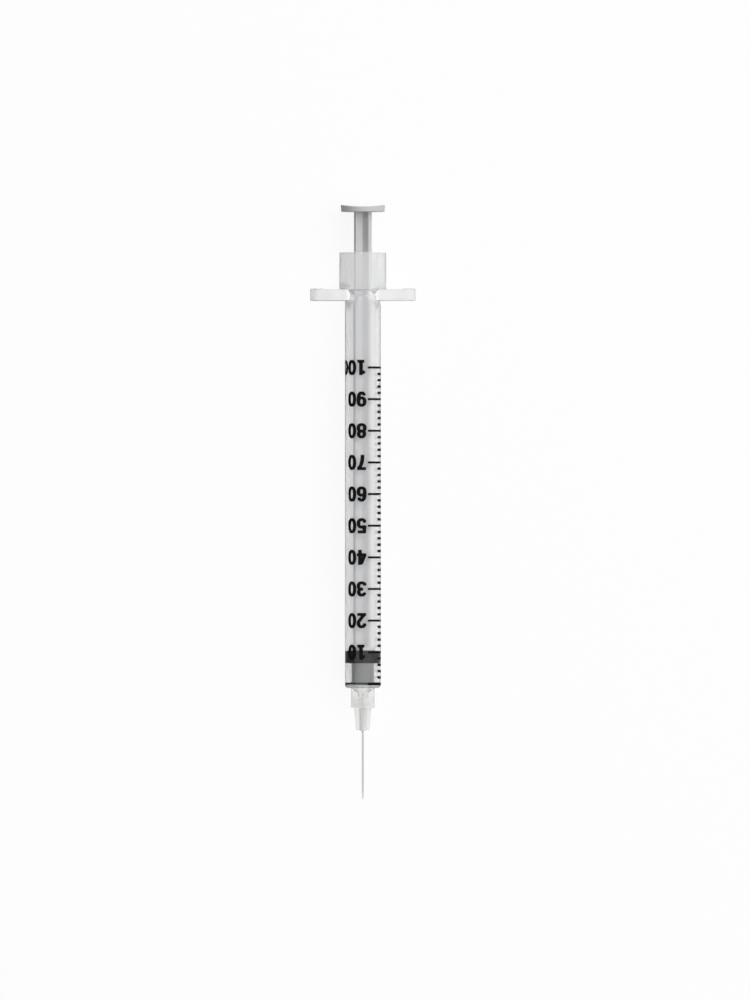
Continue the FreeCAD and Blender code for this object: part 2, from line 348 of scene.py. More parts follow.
def makeClearPlastic():
    # Moulded clear plastic with faint flow lines along the barrel. It is milkier where it is thick:
    # most at the barrel's front wall, less at the flange's ears and at the collar.
    finish = Finish("clearPlastic")
    look = clearLook
    flow = finish.noise((0.9, 0.006, 0.9), size=1.5, detail=3)
    speck = finish.noise((1, 1, 1), size=9, detail=2)
    height = finish.along("Y")
    away = finish.add("ShaderNodeMath", {"operation": "ABSOLUTE"}, {0: finish.along("X")})
    front = finish.rise(height, *look["frontEnds"])
    collar = finish.rise(height, *look["collarStarts"])
    flange = finish.rise(height, *look["flangeStarts"]) * (1 - collar)
    ears = flange * finish.rise(away, *look["earStarts"])
    shade = 0.25 * flow + 0.75 * (ears + look["collarShade"] * collar)
    colour = finish.tint(shade, look["colour"], look["flangeColour"])
    surface = finish.principled({
        "Base Color": colour,
        "Roughness": look["roughness"] + 0.02 * speck,
        "IOR": look["ior"],
        "Transmission Weight": 1.0,
        "Normal": finish.bump(flow, 0.0012),
    })
    thick = look["frontHaze"] * (1 - front) + look["flangeHaze"] * ears + look["collarHaze"] * collar
    milk = finish.milk(colour, look["backward"])
    return finish.output(finish.passShadow(finish.mixed(thick, surface, milk)))


def makeHazyPlastic():
    # The barrel's inner walls spread some of the light, in streaks along it.
    finish = Finish("hazyPlastic")
    look = clearLook
    streak = finish.noise((1.2, 0.006, 1.2), size=1.2, detail=3)
    low = [part * 0.96 for part in look["colour"]]
    colour = finish.tint(streak, low, look["colour"])
    sharp = finish.principled({
        "Base Color": colour,
        "Roughness": look["roughness"],
        "IOR": look["ior"],
        "Transmission Weight": 1.0,
    })
    milk = finish.milk(colour, look["backward"])
    share = look["haze"] - 0.04 + 0.08 * streak
    return finish.output(finish.passShadow(finish.mixed(share, sharp, milk)))


def makeHubPlastic(name, shade, haze, seatHaze):
    # The hub's plastic: clear with some milk, and less of it where the hub sits on the barrel.
    finish = Finish(name)
    cloud = finish.noise((1, 0.3, 1), size=1.3, detail=3)
    low = (shade - 0.02, shade - 0.015, shade - 0.02)
    high = (shade + 0.02, shade + 0.02, shade + 0.01)
    colour = finish.tint(cloud, low, high)
    sharp = finish.principled({
        "Base Color": colour,
        "Roughness": 0.04 + 0.06 * cloud,
        "IOR": clearLook["ior"],
        "Transmission Weight": 1.0,
        "Normal": finish.bump(cloud, 0.006),
    })
    milk = finish.milk(colour, 0.5)
    front = heightOf(hubHigh.y)
    seatStart, seatEnd = hubValues["seatDepths"]
    onSeat = finish.rise(finish.along("Y"), front - seatStart, front - seatEnd)
    share = haze + (seatHaze - haze) * onSeat + 0.08 * cloud
    return finish.output(finish.passShadow(finish.mixed(share, sharp, milk)))


def makeRodPlastic():
    # Grey-white moulding with flow lines along its length and a fine satin grain.
    finish = Finish("rodPlastic")
    flow = finish.noise((1.6, 0.07, 1.6), size=1.2, detail=4)
    grain = finish.noise((1, 1, 1), size=14, detail=3)
    colour = finish.tint(flow, (0.50, 0.50, 0.505), (0.56, 0.56, 0.565))
    sockets = {
        "Base Color": colour,
        "Roughness": 0.32 + 0.12 * grain,
        "IOR": 1.48,
        "Normal": finish.bump(0.7 * flow + 0.3 * grain, 0.012),
    }
    return finish.output(finish.principled(sockets))


def makeRubber():
    # Black rubber with a satin skin and the fine pits of its mould.
    finish = Finish("stopperRubber")
    pits = finish.noise((1, 1, 1), size=16, detail=4, roughness=0.6)
    cloud = finish.noise((1, 1, 1), size=1.1, detail=2)
    colour = finish.tint(cloud, (0.014, 0.014, 0.015), (0.03, 0.03, 0.031))
    sockets = {
        "Base Color": colour,
        "Roughness": 0.38 + 0.2 * pits,
        "Specular IOR Level": 0.15,
        "Normal": finish.bump(pits, 0.012),
    }
    return finish.output(finish.principled(sockets))


def makeInk():
    # Screen-printed black, a little thinner in places.
    finish = Finish("printedInk")
    screen = finish.noise((1, 1, 1), size=12, detail=3)
    cloud = finish.noise((1, 1, 1), size=0.8, detail=2)
    colour = finish.tint(cloud, (0.004, 0.004, 0.004), (0.012, 0.012, 0.013))
    sockets = {
        "Base Color": colour,
        "Roughness": 0.6 + 0.2 * screen,
        "Specular IOR Level": 0.03,
        "Normal": finish.bump(screen, 0.004),
    }
    # The tube's walls mirror the ink from inside: most of that is let through.
    letThrough = 0.85
    mirrors = finish.add("ShaderNodeLightPath", out="Glossy Depth")
    ghost = finish.add("ShaderNodeMath", {"operation": "MINIMUM"}, {0: mirrors, 1: letThrough})
    clear = finish.add("ShaderNodeBsdfTransparent")
    return finish.output(finish.mixed(ghost, finish.principled(sockets), clear))


def makeSteel():
    # Drawn stainless tube: fine lines along its length under an electropolished skin.
    finish = Finish("needleSteel")
    lines = finish.noise((60, 0.5, 60), size=1.0, detail=3)
    smear = finish.noise((1, 0.4, 1), size=0.9, detail=2)
    colour = finish.tint(smear, (0.74, 0.75, 0.76), (0.84, 0.85, 0.86))
    sockets = {
        "Base Color": colour,
        "Metallic": 1.0,
        "Roughness": 0.2 + 0.15 * lines,
        "Normal": finish.bump(lines, 0.002),
    }
    return finish.output(finish.principled(sockets))


def makeGlue():
    # Cured clear adhesive with a few tiny bubbles.
    finish = Finish("clearGlue")
    bubbles = finish.noise((1, 1, 1), size=7, detail=2)
    colour = finish.tint(bubbles, (0.92, 0.92, 0.89), (0.97, 0.97, 0.94))
    sockets = {
        "Base Color": colour,
        "Roughness": 0.06 + 0.12 * bubbles,
        "IOR": 1.5,
        "Transmission Weight": 0.5,
        "Normal": finish.bump(bubbles, 0.01),
    }
    return finish.output(finish.passShadow(finish.principled(sockets)))


materials = {
    "clear": makeClearPlastic(),
    "hazy": makeHazyPlastic(),
    "hub": makeHubPlastic("hubPlastic", shade=0.91, haze=0.38, seatHaze=0.12),
    "nose": makeHubPlastic("nosePlastic", shade=0.85, haze=0.6, seatHaze=0.6),
    "socket": makeHubPlastic("socketPlastic", shade=0.97, haze=0.04, seatHaze=0.04),
    "rod": makeRodPlastic(),
    "rubber": makeRubber(),
    "ink": makeInk(),
    "steel": makeSteel(),
    "glue": makeGlue(),
}
print("materials made:", len(materials))

# Barrel
barrelValues = {
    "tube": 3.22,  # radii
    "bore": 2.365,
    "throat": 2.25,
    "collar": 4.22,
    "collarBore": 3.25,
    "spigot": 0.75,
    "spigotRoot": 1.60,
    "needleHole": 0.175,
    "spigotCone": 0.89,  # lengths along the barrel
    "wall": 0.50,  # at the closed end of the bore
    "flangeTop": 71.0,
    "flangeThickness": 1.93,
    "funnelRise": 0.12,  # how far the funnel's wide end stands above the flange's top
    "funnelDepth": 0.23,
    "funnelNarrow": 0.35,  # how much wider than the throat the funnel still is at that depth
    "throatDepth": 0.83,
    "ledgeDepth": 1.03,  # of the ring that keeps the stopper in
    "boreDepth": 1.13,
    "lipInner": 8.4,
    "lipHeight": 0.22,
    "lipFade": 0.25,
    "lipMargin": 0.16,
    "planPower": 46,  # a higher one makes sharper corners where the ears meet the flats
    "angles": 320,
}


def makeBarrel():
    # One closed section is carried round the axis: out and up the outside, in over the collar's
    # mouth and down the inside. The flange's rim is drawn at a stand-in radius and then set, for
    # each angle, to the plan's radius, which blends the ears' circle with the two flats.
    v = barrelValues
    low = heightOf(barrelLow.y)
    high = heightOf(barrelHigh.y)
    front = heightOf(hubHigh.y)
    boreEnd = front + v["wall"]
    top = v["flangeTop"]
    under = top - v["flangeThickness"]
    rim = 100.0  # the stand-in radius
    corners = [
        (v["needleHole"], low, 0.02),
        (v["spigot"], low, 0.15),
        (v["spigot"], front - v["spigotCone"], 0.1),
        (v["spigotRoot"], front, 0.03),
        (v["tube"], front, 0.55),
        (v["tube"], under, 0.12),
        (rim, under, 0.15),
        (rim, top + v["lipHeight"], 0.12),
        (v["lipInner"], top + v["lipHeight"], 0.08),
        (v["lipInner"], top, 0.08),
        (v["collar"], top, 0.12),
        (v["collar"], high, 0.12),
        (v["collarBore"], high, 0.12),
        (v["collarBore"], top + v["funnelRise"], 0.1),
        (v["throat"] + v["funnelNarrow"], top - v["funnelDepth"], 0.15),
        (v["throat"], top - v["throatDepth"], 0.1),
        (v["throat"], top - v["ledgeDepth"], 0.06),
        (v["bore"], top - v["boreDepth"], 0.04),
        (v["bore"], boreEnd, 0.12),
        (v["needleHole"], boreEnd, 0.03),
    ]
    # The numbers of the corners that are handled by themselves.
    lastSpigot = 2
    lipOuter = 7
    lipInner = 8
    lipFoot = 9
    firstInner = 13
    path, owner = roundedPath(corners, closed=True)
    angle = evenAngles(v["angles"])[None, :]
    earRadius = (barrelHigh.x - barrelLow.x) / 2 / mm
    flat = (barrelHigh.z - barrelLow.z) / 2 / mm / np.maximum(np.abs(np.cos(angle)), 1e-6)
    power = v["planPower"]
    plan = (earRadius ** -power + flat ** -power) ** (-1 / power)
    radius = np.repeat(path[:, :1], v["angles"], axis=1)
    height = np.repeat(path[:, 1:], v["angles"], axis=1)
    onRim = radius > rim / 2
    radius = np.where(onRim, plan + radius - rim, radius)
    innerLip = np.isin(owner, (lipInner, lipFoot))[:, None]
    radius = np.where(innerLip, np.minimum(radius, plan - v["lipMargin"]), radius)
    # The lip stands only where the plan reaches past its inner edge.
    share = np.clip((plan - v["lipInner"]) / v["lipFade"], 0, 1)
    share = share * share * (3 - 2 * share)
    topLip = np.isin(owner, (lipOuter, lipInner))[:, None]
    height = np.where(topLip, height - v["lipHeight"] * (1 - share), height)
    points = place(radius, angle, height)
    faces = gridFaces(len(path), v["angles"], closed=True)
    slot = np.where(owner >= firstInner, 1, 0)
    slot[(owner <= lastSpigot) | (owner == len(corners) - 1)] = 2
    slots = np.repeat(slot, v["angles"])
    finishes = [materials["clear"], materials["hazy"], materials["socket"]]
    return finishMesh("clearBarrel", points, faces, finishes, slots)


def revolve(name, corners, count, material, closed=False):
    # A section of radius and height carried round the axis.
    path, owner = roundedPath(corners, closed)
    angle = evenAngles(count)[None, :]
    points = place(path[:, :1], angle, path[:, 1:])
    return finishMesh(name, points, gridFaces(len(path), count, closed), [material])


# Stopper
stopperValues = {
    "press": 0.02,  # how far the ribs press into the bore's wall
    "waist": 2.0,
    "frontRib": 0.50,
    "rearRib": 2.34,
    "socketClearance": 0.03,
    "socketChamfer": 0.42,
}
rodValues = {
    "turn": 40.5,
    "halfThickness": 0.275,
    "bladeTip": 1.90,
    "disc": 2.15,
    "discThickness": 0.60,
    "neck": 0.90,
    "neckLength": 2.0,
    "head": 1.35,
    "headLength": 1.40,
    "headChamfer": 0.45,
    "padThickness": 1.26,
    "padDraft": 0.10,  # how much smaller the pad's underside is than its top
    "dish": 0.36,
    "fillet": 0.12,
    "discInset": 0.20,  # how far inside the disc's and the pad's edge the blades' rows start
    "padInset": 0.30,
}


def makeStopper():
    # A solid of revolution: two ribs with a waist between them, and the socket for the rod's head.
    v = stopperValues
    front = heightOf(stopperLow.y)
    rear = heightOf(stopperHigh.y)
    rib = barrelValues["bore"] + v["press"]
    gap = v["socketClearance"]
    headFront = heightOf(rodLow.y)
    headRear = headFront + rodValues["headLength"]
    corners = [
        (0, front, 0),
        (rib, front, 0.10),
        (rib, front + v["frontRib"], 0.10),
        (v["waist"], front + v["frontRib"], 0.12),
        (v["waist"], rear - v["rearRib"], 0.12),
        (rib, rear - v["rearRib"], 0.10),
        (rib, rear, 0.10),
        (rodValues["neck"] + gap, rear, 0.05),
        (rodValues["neck"] + gap, headRear + gap, 0.03),
        (rodValues["head"] + gap, headRear + gap, 0.03),
        (rodValues["head"] + gap, headFront + v["socketChamfer"], 0.05),
        (rodValues["head"] - v["socketChamfer"], headFront - gap, 0.05),
        (0, headFront - gap, 0),
    ]
    return revolve("rubberStopper", corners, 192, materials["rubber"])


def makeRod():
    # Rows of one grid: round sections for the head, neck, disc and pad, and the cross between them.
    v = rodValues
    headFront = heightOf(rodLow.y)
    headRear = headFront + v["headLength"]
    discFront = headRear + v["neckLength"]
    discRear = discFront + v["discThickness"]
    padTop = heightOf(rodHigh.y)
    padBase = padTop - v["padThickness"]
    pad = (rodHigh.x - rodLow.x) / 2 / mm
    tail = [
        (0, headFront, 0),
        (v["head"] - v["headChamfer"], headFront, 0.05),
        (v["head"], headFront + v["headChamfer"], 0.08),
        (v["head"], headRear, 0.05),
        (v["neck"], headRear, 0.05),
        (v["neck"], discFront, 0.05),
        (v["disc"], discFront, 0.08),
        (v["disc"], discRear, 0.08),
        (v["disc"] - v["discInset"], discRear, 0),
    ]
    crown = [
        (pad - v["padInset"], padBase, 0),
        (pad - v["padDraft"], padBase, 0.1),
        (pad, padTop, 0.1),
        (0, padTop, 0),
    ]
    angle = crossAngles(v["turn"])
    # The fillets at both ends of the blades are quarter rounds: the blade is wider by the fillet
    # times one less the sine, at a height of the fillet times one less the cosine.
    turn = np.linspace(0, math.pi / 2, 5)
    spread = v["fillet"] * (1 - np.sin(turn))
    lift = v["fillet"] * (1 - np.cos(turn))
    widths = np.concatenate([spread, spread[::-1]])
    heights = np.concatenate([discRear + lift, padBase - lift[::-1]])
    blades = bladeReach(angle, v["turn"], v["halfThickness"], v["bladeTip"])
    cross = blades[None, :] + widths[:, None]
    tailPath = roundedPath(tail)[0]
    crownPath = roundedPath(crown)[0]
    # The pad's top is divided further, because its trough bends it.
    inward = np.linspace(crownPath[-2, 0], 0, 14)[1:]
    topRows = np.stack([inward, np.full(len(inward), padTop)], axis=1)
    crownPath = np.vstack([crownPath[:-1], topRows])
    count = len(angle)
    tailRows = np.repeat(tailPath[:, :1], count, axis=1)
    crownRows = np.repeat(crownPath[:, :1], count, axis=1)
    radius = np.vstack([tailRows, cross, crownRows])
    height = np.concatenate([tailPath[:, 1], heights, crownPath[:, 1]])
    height = np.repeat(height[:, None], count, axis=1)
    # The trough in the pad's top is part of a wide cylinder with its axis front to back: it sinks
    # by the dish less the cylinder's rise, which is its radius less the root of radius squared less
    # across squared.
    trough = (pad ** 2 + v["dish"] ** 2) / (2 * v["dish"])
    across = radius * np.sin(angle)[None, :]
    sunk = v["dish"] - (trough - np.sqrt(trough ** 2 - across ** 2))
    onTop = height > (padBase + padTop) / 2
    height = np.where(onTop, height - sunk, height)
    points = place(radius, angle[None, :], height)
    faces = gridFaces(len(height), count, closed=False)
    return finishMesh("plungerRod", points, faces, [materials["rod"]], sharp=28)


# Hub
def makeHub():
    # A closed section whose outside, from the nose to the collar, is the larger of a round core and
    # four thin fins; the fins' outer edge falls evenly from the collar to the nose.
    v = hubValues
    b = barrelValues
    mouth = heightOf(hubLow.y)
    front = heightOf(hubHigh.y)
    step = front - v["collarLength"]
    finEnd = step - v["finLength"]
    spigotEnd = heightOf(barrelLow.y)
    outer = (hubHigh.x - hubLow.x) / 2 / mm
    gap = v["socketGap"]
    angle = crossAngles(v["finTurn"])
    chamferEnd = finEnd + v["finChamfer"]
    chamferRows = finEnd + np.array([0, 0.02, v["finChamfer"] / 2, v["finChamfer"]])
    evenRows = np.linspace(finEnd + 0.6, step - v["finFillet"], 8)
    finHeight = np.concatenate([chamferRows, evenRows, [step - 0.03, step]])
    slope = (v["finRoot"] - v["finTip"]) / (step - chamferEnd)
    tip = v["finTip"] + slope * (finHeight - chamferEnd)
    tip = np.where(finHeight < chamferEnd, v["finTip"] - (chamferEnd - finHeight), tip)
    core = v["coreTip"] + (v["core"] - v["coreTip"]) * (finHeight - mouth) / (step - mouth)
    fins = bladeReach(angle[None, :], v["finTurn"], v["finHalfThickness"], tip[:, None])
    # The larger of fins and core, chosen with powers, which rounds the corner between them.
    soft = 16
    fins = (fins ** soft + core[:, None] ** soft) ** (1 / soft)
    # The first row is the bare core, and the last two spread into the collar.
    fins[0] = core[0]
    fins[-2] += v["finFillet"] / 4
    fins[-1] += v["finFillet"]
    nose = [
        (v["glueBore"], mouth + v["cupDepth"], 0),
        (v["glueCup"], mouth, 0.03),
        (v["coreTip"], mouth, 0.06),
        (v["coreTip"] + 0.002, finEnd - 0.01, 0),
    ]
    collar = [
        (outer - 0.2, step, 0),
        (outer, step, 0.1),
        (outer, front, 0.1),
        (b["spigotRoot"] + gap, front, 0.03),
        (b["spigot"] + gap, front - b["spigotCone"] - gap, 0.1),
        (b["spigot"] + gap, spigotEnd - gap, 0.12),
        (v["glueBore"], spigotEnd - gap, 0.03),
        (v["glueBore"], spigotEnd - 1, 0),
    ]
    socketCorner = 3
    nosePath = roundedPath(nose)[0]
    collarPath, collarOwner = roundedPath(collar)
    count = len(angle)
    noseRows = np.repeat(nosePath[:, :1], count, axis=1)
    collarRows = np.repeat(collarPath[:, :1], count, axis=1)
    radius = np.vstack([noseRows, fins, collarRows])
    height = np.concatenate([nosePath[:, 1], finHeight, collarPath[:, 1]])[:, None]
    points = place(radius, angle[None, :], height)
    faces = gridFaces(len(radius), count, closed=True)
    noseEnd = len(nosePath) + len(fins) - 1
    socketStart = noseEnd + 1 + int(np.argmax(collarOwner >= socketCorner))
    row = np.arange(len(radius))
    slots = np.where(row >= socketStart, 1, np.where(row < noseEnd, 2, 0))
    finishes = [materials["hub"], materials["socket"], materials["nose"]]
    return finishMesh("needleHub", points, faces, finishes, np.repeat(slots, count), sharp=30)


# Needle and its glue
needleValues = {
    "lumen": 0.09,  # radius
    "bevel": 12.0,  # degrees
    "lancet": 17.0,
    "lancetTurn": 35.0,
    "shaftStart": 0.3,  # how far behind the bevel the first plain row stands
    "angles": 72,
}


def makeNeedle():
    # A tube whose near end is cut by three planes through its point, which lies at its underside:
    # the long bevel and two lancet facets turned to either side. A plane's height is the distance
    # from its lowest edge over the tangent of its angle, and the end's height is the greatest of
    # the three.
    v = needleValues
    outer = (needleHigh.x - needleLow.x) / 2 / mm
    tip = heightOf(needleLow.y)
    rear = heightOf(needleHigh.y)
    angle = evenAngles(v["angles"])
    wall = np.array([outer, outer, outer, v["lumen"], v["lumen"], v["lumen"]])[:, None]
    across = wall * np.sin(angle)
    rise = wall * np.cos(angle) + outer
    turn = math.radians(v["lancetTurn"])
    bevelTangent = math.tan(math.radians(v["bevel"]))
    lancetTangent = math.tan(math.radians(v["lancet"]))
    facet = np.abs(across) * math.sin(turn) + rise * math.cos(turn)
    end = tip + np.maximum(rise / bevelTangent, facet / lancetTangent)
    shaft = tip + 2 * outer / bevelTangent + v["shaftStart"]
    height = np.full_like(end, rear)
    height[0] = end[0]
    height[1] = shaft
    height[4] = shaft
    height[5] = end[5]
    points = place(wall, angle[None, :], height)
    faces = gridFaces(len(wall), v["angles"], closed=True)
    return finishMesh("steelNeedle", points, faces, [materials["steel"]])


def makeGlueRing():
    # Glue round the needle, with a hollow meniscus drawn out along it.
    v = hubValues
    outer = (needleHigh.x - needleLow.x) / 2 / mm
    rear = heightOf(glueHigh.y)
    tip = heightOf(glueLow.y)
    mouth = heightOf(hubLow.y)
    gap = 0.01
    corners = [(outer, rear, 0), (outer, tip, 0)]
    # The meniscus grows as the fourth power of the way from its tip to the hub's mouth.
    for part in np.linspace(0, 1, 7)[1:-1]:
        radius = outer + gap + (v["glueCup"] - outer - 3 * gap) * part ** 4
        corners.append((radius, tip + (mouth - tip) * part, 0))
    corners += [
        (v["glueCup"] - gap, mouth, 0),
        (v["glueBore"] - gap, mouth + v["cupDepth"], 0.02),
        (v["glueBore"] - gap, rear, 0.02),
    ]
    return revolve("clearGlue", corners, 72, materials["glue"], closed=True)


# Scale lines and numerals
def makeLines():
    # Each line is a curved strip on the tube: four edges carried from its start angle to the end.
    v = scaleValues
    step = np.arange(v["units"] // v["unitsPerMark"] + 1)
    middle = step * v["length"] * v["unitsPerMark"] / v["units"]
    isLong = step % v["marksPerNumber"] == 0
    width = np.where(step == 0, v["zeroWidth"], np.where(isLong, v["longWidth"], v["shortWidth"]))
    start = np.where(isLong, v["longStart"], v["shortStart"])
    share = np.linspace(0, 1, v["steps"])[None, :, None]
    angle = np.radians(start[:, None, None] + (v["end"] - start[:, None, None]) * share)
    tube = barrelValues["tube"]
    radius = np.array([tube, tube + v["ink"], tube + v["ink"], tube])[None, None, :]
    side = np.array([-0.5, -0.5, 0.5, 0.5])[None, None, :]
    height = middle[:, None, None] + side * width[:, None, None]
    points = place(radius, angle, height)
    edge = np.arange(4)
    nextEdge = (edge + 1) % 4
    column = np.arange(v["steps"] - 1)[:, None] * 4
    corners = [column + edge, column + nextEdge, column + 4 + nextEdge, column + 4 + edge]
    walls = np.stack(corners, axis=-1).reshape(-1, 4)
    last = (v["steps"] - 1) * 4
    ends = np.array([[3, 2, 1, 0], [last, last + 1, last + 2, last + 3]])
    oneStrip = np.vstack([walls, ends])
    offset = np.arange(len(step))[:, None, None] * v["steps"] * 4
    faces = (oneStrip[None] + offset).reshape(-1, 4)
    return finishMesh("scaleLines", points, faces, [materials["ink"]])


numeralValues = {
    "width": 1.83,
    "height": 2.76,
    "advance": 1.90,
    "penAcross": 0.34,  # half widths of the pen
    "penAlong": 0.27,
    "grid": 0.055,
    "square": 0.88,  # below 1 the bowls are squarer
    "start": 12.0,  # degrees, where a number's first digit starts
}


def bow(centreX, centreY, reachX, reachY, start, end):
    # An arc of a squared ellipse: sine and cosine each raised to a power that keeps their sign.
    turn = np.radians(np.linspace(start, end, 37))
    square = numeralValues["square"]
    cosine = np.sign(np.cos(turn)) * np.abs(np.cos(turn)) ** square
    sine = np.sign(np.sin(turn)) * np.abs(np.sin(turn)) ** square
    return np.stack([centreX + reachX * cosine, centreY + reachY * sine], axis=1)


# The pen's way through each digit, in a square from -1 to 1 that the pen's middle fills.
digitStrokes = {
    "0": [bow(0, 0, 1, 1, 0, 360)],
    "1": [
        [(-0.95, -1), (1.35, -1)],
        [(0.18, -1), (0.18, 1.2)],
        [(0.25, 1.0), (-1.1, 0.62)],
    ],
    "2": [
        bow(0, 0.42, 1, 0.58, 165, -28),
        [(0.86, 0.12), (-0.62, -0.85)],
        [(-1.45, -1), (1.45, -1)],
    ],
    "3": [
        bow(-0.05, 0.5, 0.92, 0.5, 158, -90),
        bow(-0.05, -0.48, 1.05, 0.52, 90, -158),
        [(-0.45, 0.02), (0.1, 0.02)],
    ],
    "4": [
        [(0.15, 1.05), (-1.05, -0.45)],
        [(-1.5, -0.42), (1.5, -0.42)],
        [(0.5, 1.2), (0.5, -1.2)],
    ],
    "5": [
        [(-1.2, 1), (1.2, 1)],
        [(-0.85, 1.2), (-0.98, -0.05)],
        bow(-0.02, -0.38, 1.02, 0.62, 135, -158),
    ],
    "6": [bow(0, -0.4, 1, 0.6, 0, 360), bow(0.02, 0, 1.02, 1, 44, 190)],
    "7": [[(-1.45, 1), (1.45, 1)], bow(1.42, -1.22, 1.72, 2.15, 180, 104)],
    "8": [bow(0, 0.52, 0.9, 0.48, 0, 360), bow(0, -0.46, 1.02, 0.54, 0, 360)],
}
digitStrokes["9"] = [-np.array(stroke) for stroke in digitStrokes["6"]]


def penField(strokes, x, y):
    # How far each point lies outside the pen's track: the least distance to the track's straight
    # pieces, less the pen's half width. Across is shrunk first, so that the pen is an upright
    # ellipse. An open stroke ends squarely.
    v = numeralValues
    farAway = 10.0  # for a point that lies beyond the ends of every stroke
    shrink = v["penAlong"] / v["penAcross"]
    spot = np.stack([x * shrink, y], axis=-1)[..., None, :]
    nearest = np.full(x.shape, np.inf)
    for stroke in strokes:
        track = np.array(stroke, float)
        track = track * [v["width"] / 2 - v["penAcross"], v["height"] / 2 - v["penAlong"]]
        isOpen = not np.allclose(track[0], track[-1])
        track[:, 0] *= shrink
        start = track[:-1]
        run = track[1:] - start
        along = ((spot - start) * run).sum(-1) / (run ** 2).sum(-1)
        held = np.clip(along, 0, 1)
        distance = np.linalg.norm(spot - start - held[..., None] * run, axis=-1)
        if isOpen:
            distance[..., 0] = np.where(along[..., 0] < 0, np.inf, distance[..., 0])
            distance[..., -1] = np.where(along[..., -1] > 1, np.inf, distance[..., -1])
        nearest = np.minimum(nearest, distance.min(-1))
    return np.minimum(nearest, farAway) - v["penAlong"]


def digitCells(digit):
    # A fine grid under the digit: cells whose middle is inked stay, and the points on their border
    # are moved down the field's slope onto its zero line. The field is also held to the digit's
    # box.
    v = numeralValues
    grid = v["grid"]
    halfWidth = v["width"] / 2
    halfHeight = v["height"] / 2
    across = np.arange(-halfWidth - grid, halfWidth + 2 * grid, grid)
    along = np.arange(-halfHeight - grid, halfHeight + 2 * grid, grid)
    x, y = np.meshgrid(across, along)

    def field(x, y):
        box = np.maximum(np.abs(x) - halfWidth, np.abs(y) - halfHeight)
        return np.maximum(penField(digitStrokes[digit], x, y), box)

    middle = field(x[:-1, :-1] + grid / 2, y[:-1, :-1] + grid / 2)
    kept = middle < 0
    around = np.zeros(x.shape, int)
    for rowShift in (0, 1):
        for columnShift in (0, 1):
            rows = slice(rowShift, rowShift + kept.shape[0])
            columns = slice(columnShift, columnShift + kept.shape[1])
            around[rows, columns] += kept
    border = (around > 0) & (around < 4)
    small = grid / 20
    leastSteep = 0.3
    for turn in range(3):
        value = field(x, y)
        slopeX = (field(x + small, y) - field(x - small, y)) / (2 * small)
        slopeY = (field(x, y + small) - field(x, y - small)) / (2 * small)
        steep = np.maximum(slopeX ** 2 + slopeY ** 2, leastSteep)
        shift = np.where(border, np.clip(value, -grid, grid), 0) / steep
        x = x - shift * slopeX
        y = y - shift * slopeY
    index = np.arange(x.size).reshape(x.shape)
    corners = [index[:-1, :-1], index[:-1, 1:], index[1:, 1:], index[1:, :-1]]
    cells = np.stack(corners, axis=-1)[kept]
    used, cells = np.unique(cells, return_inverse=True)
    cells = cells.reshape(-1, 4)
    return x.ravel()[used], y.ravel()[used], cells


def makeNumerals():
    # Every digit is wrapped on the tube, upside down to the pad: its right runs against the angle and
    # its top towards the needle. Ink has an outer face, an inner face and a wall along its border.
    v = numeralValues
    tube = barrelValues["tube"]
    thick = tube + scaleValues["ink"]
    unitsPerNumber = scaleValues["unitsPerMark"] * scaleValues["marksPerNumber"]
    shapes = {digit: digitCells(digit) for digit in digitStrokes}
    points = []
    faces = []
    used = 0
    for number in range(unitsPerNumber, scaleValues["units"] + 1, unitsPerNumber):
        for spot, digit in enumerate(str(number)):
            x, y, cells = shapes[digit]
            run = x + v["width"] / 2 + spot * v["advance"]
            angle = math.radians(v["start"]) - run / thick
            height = number * scaleValues["length"] / scaleValues["units"] - y
            count = len(x)
            # An edge that no other cell uses the other way round is on the border.
            edges = np.concatenate([cells[:, [side, (side + 1) % 4]] for side in range(4)])
            code = edges[:, 0] * count + edges[:, 1]
            back = edges[:, 1] * count + edges[:, 0]
            rim = edges[~np.isin(code, back)]
            walls = np.stack([rim[:, 0] + count, rim[:, 1] + count, rim[:, 1], rim[:, 0]], axis=1)
            points += [place(thick, angle, height), place(tube, angle, height)]
            faces.append(np.vstack([cells, cells[:, ::-1] + count, walls]) + used)
            used += 2 * count
    points = np.vstack(points)
    faces = np.vstack(faces)
    return finishMesh("scaleNumerals", points, faces, [materials["ink"]], sharp=40)


barrel = makeBarrel()
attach(barrel, "barrel")
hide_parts("barrel")
print("barrel made")

stopper = makeStopper()
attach(stopper, "stopper")
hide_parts("stopper")

rod = makeRod()
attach(rod, "plunger")
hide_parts("plunger_rod")
print("plunger made")

hub = makeHub()
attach(hub, "barrel")
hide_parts("needle_hub")

needle = makeNeedle()
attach(needle, "barrel")
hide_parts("needle")

glue = makeGlueRing()
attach(glue, "barrel")
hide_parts("needle_adhesive")
print("hub and needle made")

lines = makeLines()
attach(lines, "barrel")
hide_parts("scale_marks")

numerals = makeNumerals()
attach(numerals, "barrel")
print("scale made")

# Floor, light and camera
stageValues = {
    "floorSize": 6.0,
    "floorWhite": 0.93,
    "floorGlow": 0.9,  # share of the floor's white that doesn't depend on the lamps
    "glowReach": 0.022,  # how far from the syringe clear plastic still sees the floor's glow
    "mirrorLeft": 0.9,  # how much darker the floor is in a mirrored look
    "mirrorRight": 0.4,
    "ambient": 0.27,
    "ambientLean": 0.05,  # how much more of it comes from the right
    "inside": 0.95,  # share of the bright panels that also lights what clear plastic holds
    "flagLeft": 0.12,  # what clear plastic and steel see low on the left, and on the right
    "flagRight": 0.60,
    "keyEnergy": 16.6,
    "keySize": 1.6,
    "keyFrom": (0.60, 0.32, 1.05),
    "cameraHeight": 3.0,
    "sensor": 36.0,  # millimetres
    "frameLong": 0.1803,  # what the picture's long side covers
    "aim": (0.00219, 0.000475),
}


